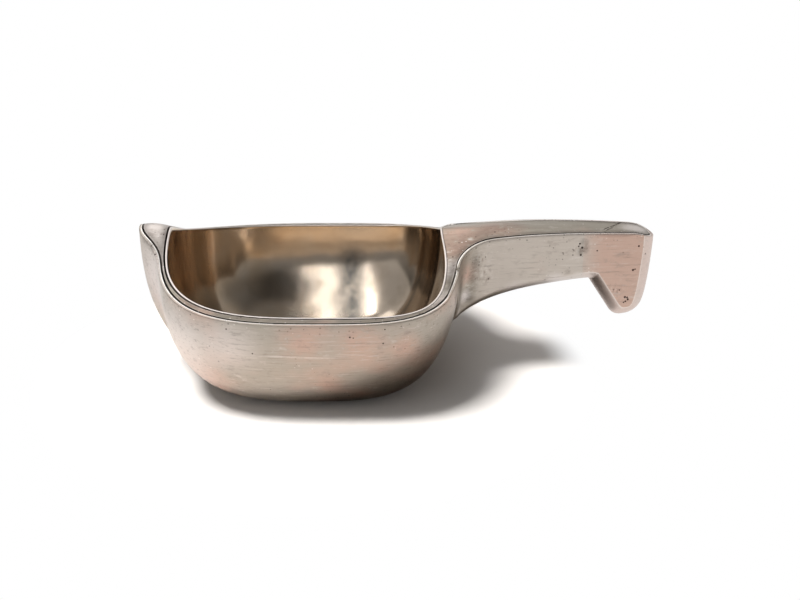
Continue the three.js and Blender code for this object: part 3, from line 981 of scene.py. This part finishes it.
HOOK_WEAR = Wear(
    blush=(0.12, 0.42), tarnish=(2, 0.2), lip=0.7, edges=0.5,
    pits=(
        (110.5, -8.5, 54, 0.4), (126.7, -7.5, 55.5, 0.5), (129.8, -6.8, 52, 0.55), (130, -6.7, 51, 0.45),
        (125.1, -7.6, 45.7, 0.6), (125.9, -7.6, 46, 0.4), (122.7, -7.7, 34.4, 0.6), (123.6, -7.6, 34.2, 0.5),
        (123.9, -7.6, 33.4, 0.55), (123, -7.6, 32.6, 0.5), (122.3, -7.6, 32.2, 0.45), (120.3, -7.8, 37.4, 0.35),
    ),
    stains_and_painted_shade=(((109.4, -8.2, 43.8), (111.6, -7.6, 40.6), 1.8), ((106, -8.9, 57.5), (106, -8.9, 54), 2)),
    scored=((109.6, -8.2, 43.6, 3), (119, -8, 38, 4), (106.5, -8.9, 55, 3)),
    blush_from=(103, 116),
)


def worn_silver(name, finish, wear):
    """Satin silver: copper blush, fine scratches, small pits, a stain here and there and tarnished seams, with
    painted light: lighter patches partly rubbed, painted shade at the handle's root, painted highlights on lips and
    edges, and painted glints.
    """
    shade = Shade(bpy.data.materials.new(name))
    seam = shade.seam()
    cloud = shade.noise(9 * MM, detail=4.0)
    mottle = shade.noise(3.5 * MM, detail=5.0, roughness=0.65, vector=shade.stretched((0.7, 1, 1.3)))
    grain = shade.noise(1.3 * MM, roughness=0.6)
    scratches = shade.noise(1.0, detail=4.0, roughness=0.7, vector=shade.stretched((60, 700, 1400), (0, 0.12, 0)))
    cross = shade.noise(1.0, roughness=0.7, vector=shade.stretched((900, 500, 90), (0, 0.5, 0.2)))
    filed = shade.noise(1.0, detail=2.0, vector=shade.stretched((900, 900, 500), (0.3, 0.8, 0)))
    blush = shade.noise(24 * MM, vector=shade.stretched((1, 1, 1.7))).band(*wear.blush)
    blush = 1 - (1 - blush) * (1 - shade.spots(wear.blushed, 0.0) * mottle.band(0.2, 0.6))
    along = shade.axis("X")
    if wear.blush_from:
        blush = blush * (along + mottle * 4 * MM).band_mm(*wear.blush_from)
    # Lighter patches: partly rubbed bright, partly painted light
    rubbed_and_lit = shade.spots(wear.rubbed_and_lit, 0.15) * 0.85
    crowded = 1 - (1 - shade.noise(16 * MM, detail=2.0).band(0.45, 0.7)) * (1 - seam.band_mm(6, 1) * 0.7)
    scored = shade.spots(wear.scored, 0.1) * mottle.band(0.38, 0.56)
    specks = shade.pits(0.34 * MM, 1.3 * MM, 0.34) * (1 - (1 - crowded * 0.75) * (1 - scored))
    # Painted glints: tiny points of light where the pits crowd
    painted_glints = shade.pits(0.3 * MM, 1.5 * MM, 0.34, vector=shade.stretched((1, -1, 1))) * crowded
    sparse = shade.pits(0.36 * MM, 6 * MM, 0.3)
    holes = 1 - (1 - sparse) * (1 - specks * 0.8) * (1 - shade.spots(wear.pits)) * (1 - shade.strokes(wear.strokes))
    reach, share = wear.tarnish
    near = (seam * (cloud + 0.55)).band_mm(reach, 0.1) * share * cloud.band(0.2, 0.55)
    # Dark strokes: stain, and painted shade at the handle's root
    stain_and_painted_shade = shade.strokes(wear.stains_and_painted_shade, 0.0) * mottle.band(0.25, 0.6) * 0.45
    groove = seam.band_mm(*GROOVE)
    # Painted highlight along the lips beside the grooves
    lip = seam.band_mm(0.95, 0.7) * wear.lip * mottle.band(0.25, 0.5)
    dark = 1 - (1 - near * (1 - lip)) * (1 - groove) * (1 - stain_and_painted_shade)
    # Share of the dull colour; with a span given it grows along x
    dull = along.band_mm(*wear.darker_span) * wear.dull if wear.darker_span else wear.dull
    facing = shade.axis("Y", shade.node("ShaderNodeNewGeometry", output="Normal"))
    sideways = facing.maths("ABSOLUTE", facing)
    # Rounded edges under the arm, lighter as they turn from the side: a painted highlight, partly worn bright
    worn_and_lit_edges = sideways.band(0.97, 0.85) * along.band_mm(66, 84) * wear.edges
    # Painted highlight: a thin bright line where the hook's flat side turns into its facets
    painted_arris_highlight = sideways.band(0.99, 0.965) * sideways.band(0.86, 0.93)
    painted_arris_highlight = painted_arris_highlight * along.band_mm(100, 108) * mottle.band(0.25, 0.5) * wear.edges
    colour = shade.layered(
        finish.silver,
        (dull, finish.dull),
        (blush * 0.85, finish.pink),
        (rubbed_and_lit, finish.rubbed_and_lit),
        (mottle.band(0.42, 0.25) * 0.4, finish.rubbed_and_lit),
        (mottle.band(0.53, 0.72) * 0.45, GREYED),
        (scratches.band(0.55, 0.66) * 0.36, SCRATCH_DARK),
        (scratches.band(0.42, 0.3) * 0.35, SCRATCH_BRIGHT),
        (filed.band(0.52, 0.64) * scored * 0.5, FILED_DARK),
        (filed.band(0.46, 0.36) * scored * 0.35, FILED_LIGHT_AND_PAINTED_HIGHLIGHT),
        (worn_and_lit_edges, finish.rubbed_and_lit),
        (painted_arris_highlight, PAINTED_EDGE_HIGHLIGHT),
        # Painted highlight lines
        (shade.strokes(wear.painted_highlight_lines, 0.0) * mottle.band(0.3, 0.6) * 0.45, FILED_LIGHT_AND_PAINTED_HIGHLIGHT),
        (dark, finish.tarnish),
        (groove, GROOVE_DARK),
        (lip * (1 - groove), PAINTED_EDGE_HIGHLIGHT),
        (holes * 0.9, PIT_DARK),
        (painted_glints * 0.7, PAINTED_GLINT),
    )
    roughness = 0.34 + cloud * 0.12 + grain * 0.06 + dark * 0.12 + holes * 0.2
    height = grain * 0.25 + scratches * 0.35 + cross * 0.25 + filed * scored * 0.8 - holes * 3.0
    return shade.metal(colour, roughness, height, 0.6, 0.035 * MM)


def hammered_gilding(name, finish):
    """Polished brown gilding, worn through to grey silver, faintly planished, with a dark streak painted as the
    reflection between two lamps, and a painted highlight on the lip where the gilding is also worn.
    """
    shade = Shade(bpy.data.materials.new(name))
    seam = shade.seam()
    worn = shade.noise(26 * MM, roughness=0.55).band(0.38, 0.66)
    worn = 1 - (1 - worn) * (1 - shade.spots((BARE_PLACE,), 0.4))
    cloud = shade.noise(7 * MM)
    mottle = shade.noise(2.6 * MM, detail=4.0, roughness=0.6)
    fine = shade.noise(1.0, vector=shade.stretched((500, 500, 60)))
    specks = shade.pits(0.16 * MM, 3.6 * MM, 0.22)
    # Painted dark reflection: a streak between the two lamp highlights on the far inner wall
    beaten = shade.strokes((PAINTED_DARK_REFLECTION_STREAK,), 0.0) * (cloud.band(0.3, 0.6) * 0.3 + mottle.band(0.3, 0.6) * 0.15 + 0.55)
    # Painted highlight along the inner bowl's lip, where the gilding is also worn to silver
    lip = seam.band_mm(1.25, 1.0)
    colour = shade.layered(
        finish.gilding,
        (worn * 0.35, finish.bare),
        (cloud.band(0.5, 0.8) * 0.25, BROWNED),
        (beaten, PAINTED_REFLECTION_GREY),
        (lip, finish.rubbed_and_lit),
        (seam.band_mm(*GROOVE), finish.tarnish),
        (specks * 0.5, DUST),
    )
    roughness = 0.11 + cloud * 0.07 + fine * 0.03 + lip * 0.25 + beaten * 0.1
    height = cloud + fine * 0.15 + specks + mottle * 0.3
    return shade.metal(colour, roughness, height, 0.35, 0.05 * MM)


def pale_floor(name):
    """A pale plain floor under the ladle and its shadow, which reads as plain white further out."""
    shade = Shade(bpy.data.materials.new(name))
    camera, glossy, through = (
        shade.node("ShaderNodeLightPath", output=ray)
        for ray in ("Is Camera Ray", "Is Glossy Ray", "Is Transmission Ray")
    )
    shaded = glossy * shade.way_to(DARK_SIDE).band(DARK_SIDE_END, DARK_SIDE_CORE)
    colour = shade.mix(shaded, FLOOR_COLOUR, DARK_SIDE_COLOUR)
    diffuse = shade.node("ShaderNodeBsdfDiffuse", {"Color": colour, "Roughness": 1.0})
    glow = shade.node("ShaderNodeEmission")
    seen = (camera + glossy + through) * shade.way_to((0, 0, 0)).band(WHITE_STARTS, WHITE_FULL)
    mixed = shade.node("ShaderNodeMixShader", {0: seen, 1: diffuse, 2: glow})
    shade.node("ShaderNodeOutputMaterial", {"Surface": mixed})
    return shade.holder


def backdrop_bmesh():
    """A wide floor that sweeps up behind the ladle."""
    bm = bmesh.new()
    bmesh.ops.create_grid(bm, x_segments=1, y_segments=1, size=FLOOR_REACH)
    back = [v for v in bm.verts if v.co.y > 0]
    for v in back:
        v.co.y = BACKDROP_REACH
    edges = bm.edges
    for step in range(BACKDROP_STEPS):
        last = [edge for edge in edges if all(v in back for v in edge.verts)]
        grown = bmesh.ops.extrude_edge_only(bm, edges=last)["geom"]
        back = [part for part in grown if isinstance(part, bmesh.types.BMVert)]
        edges = [part for part in grown if isinstance(part, bmesh.types.BMEdge)]
        turn = pi / 2 * (step + 0.5) / BACKDROP_STEPS
        bmesh.ops.translate(bm, vec=Vector((0, cos(turn), sin(turn))) * BACKDROP_STEP, verts=back)
    return bm


def studio(name):
    """Soft grey light: strongest from behind, weaker from the handle's end, from low down and from above."""
    shade = Shade(bpy.data.worlds.new(name), "Generated")
    level = SKY_EVERYWHERE
    for axis, start, full, strength in SKY:
        level = level + shade.axis(axis).band(start, full) * strength
    light = shade.node("ShaderNodeBackground", {"Color": level})
    shade.node("ShaderNodeOutputWorld", {"Surface": light})
    return shade.holder


class LADLE_OT_stage(bpy.types.Operator):
    """Set the camera, the soft lamps and the pale floor"""

    bl_idname = "ladle.stage"
    bl_label = "Stage"

    def execute(self, context):
        scene = context.scene
        data = bpy.data.cameras.new("camera")
        data.lens = CAMERA_LENS
        scene.camera = add_object("camera", data)
        scene.camera.location = CAMERA_PLACE
        scene.camera.rotation_euler = (CAMERA_TILT, 0, 0)
        floor = add_object("floor", finished_mesh("floor", backdrop_bmesh()))
        floor.data.materials.append(pale_floor("pale floor"))
        for name, place, aim, size, power, mirrored in LAMPS:
            data = bpy.data.lights.new(name, "AREA")
            data.shape = "RECTANGLE"
            data.size, data.size_y = size
            data.energy = power
            lamp = add_object(name, data)
            lamp.location = place
            lamp.rotation_euler = (Vector(aim) - Vector(place)).to_track_quat("-Z", "Y").to_euler()
            lamp.visible_glossy = mirrored
        scene.world = studio("studio")
        scene.view_settings.view_transform = "Standard"
        return {"FINISHED"}


class LADLE_OT_bowl_shell(bpy.types.Operator):
    """Raise the outer bowl with its prow, flat bottom and lip"""

    bl_idname = "ladle.bowl_shell"
    bl_label = "Outer bowl"

    def execute(self, context):
        sizes, finish = context.scene.ladle_sizes, context.scene.ladle_finish
        material = worn_silver("worn silver", finish, SHELL_WEAR)
        finish_piece("outer_bowl", shell_bmesh(sizes), "bowl_shell", material, seam_tree(sizes))
        return {"FINISHED"}


class LADLE_OT_bowl_liner(bpy.types.Operator):
    """Raise the gilt inner bowl and hammer its inside"""

    bl_idname = "ladle.bowl_liner"
    bl_label = "Inner bowl"

    def execute(self, context):
        sizes, finish = context.scene.ladle_sizes, context.scene.ladle_finish
        material = hammered_gilding("hammered gilding", finish)
        distance = seam_tree(sizes, all_round=True)
        finish_piece("inner_bowl", liner_bmesh(sizes), "bowl_liner", material, distance)
        return {"FINISHED"}


class LADLE_OT_rim_cover(bpy.types.Operator):
    """Lay the plate round the mouth and along the handle, and its end beyond the aslant seam"""

    bl_idname = "ladle.rim_cover"
    bl_label = "Rim and handle cover"

    def execute(self, context):
        sizes, finish = context.scene.ladle_sizes, context.scene.ladle_finish
        material = worn_silver("tarnished silver", finish, COVER_WEAR)
        slant = Vector((2 * HANDLE_ROOT_HALF_WIDTH, -2 * COVER_SEAM_HALF_LENGTH, 0)).normalized()
        seam = Vector((COVER_SEAM_X, 0, 0))
        gap = slant * sizes.soldered / 2
        distance = seam_tree(sizes)
        for name, node, point, normal in (
            ("rim_plate", "rim_cover", seam - gap, slant),
            ("hook_plate", "hook_cover", seam + gap, -slant),
        ):
            bm = cover_bmesh(sizes)
            cut_seam(bm, point, normal)
            thicken(bm, sizes, sizes.cover_sheet)
            finish_piece(name, bm, node, material, distance)
        return {"FINISHED"}


class LADLE_OT_handle(bpy.types.Operator):
    """Bend the handle's trough and the hook"""

    bl_idname = "ladle.handle"
    bl_label = "Handle and hook"

    def execute(self, context):
        sizes, finish = context.scene.ladle_sizes, context.scene.ladle_finish
        trough_silver = worn_silver("trough silver", finish, TROUGH_WEAR)
        hook_silver = worn_silver("hook silver", finish, HOOK_WEAR)
        bowl = shell_bmesh(sizes)
        tree = BVHTree.FromBMesh(bowl)
        distance = seam_tree(sizes)
        seam = Vector((HOOK_SEAM_X + sizes.seam / 2, 0, 0))
        gap = Vector((sizes.soldered / 2, 0, 0))
        for name, node, point, normal, material in (
            ("trough", "handle_trough", seam - gap, (1, 0, 0), trough_silver),
            ("hook", "hook_end", seam + gap, (-1, 0, 0), hook_silver),
        ):
            bm = handle_bmesh(tree)
            cut_seam(bm, point, normal)
            thicken(bm, sizes, sizes.handle_sheet)
            finish_piece(name, bm, node, material, distance)
        bowl.free()
        return {"FINISHED"}


class LADLE_PT_panel(bpy.types.Panel):
    """Sizes, colours and the pieces of the ladle"""

    bl_label = "Drinking ladle"
    bl_idname = "LADLE_PT_panel"
    bl_space_type = "VIEW_3D"
    bl_region_type = "UI"
    bl_category = "Ladle"

    def draw(self, context):
        for group in (context.scene.ladle_sizes, context.scene.ladle_finish):
            for name in group.bl_rna.properties.keys():
                if name not in ("rna_type", "name"):
                    self.layout.prop(group, name)
        for operator in OPERATORS:
            self.layout.operator(operator.bl_idname)


OPERATORS = (LADLE_OT_stage, LADLE_OT_bowl_shell, LADLE_OT_bowl_liner, LADLE_OT_rim_cover, LADLE_OT_handle)
CLASSES = (LadleSizes, LadleFinish, *OPERATORS, LADLE_PT_panel)


def register():
    for cls in CLASSES:
        bpy.utils.register_class(cls)
    bpy.types.Scene.ladle_sizes = PointerProperty(type=LadleSizes)
    bpy.types.Scene.ladle_finish = PointerProperty(type=LadleFinish)


def unregister():
    del bpy.types.Scene.ladle_finish
    del bpy.types.Scene.ladle_sizes
    for cls in reversed(CLASSES):
        bpy.utils.unregister_class(cls)


def main():
    register()
    bpy.ops.ladle.stage()
    bpy.ops.ladle.bowl_shell()
    bpy.ops.ladle.bowl_liner()
    bpy.ops.ladle.rim_cover()
    bpy.ops.ladle.handle()


if __name__ == "__main__":
    main()
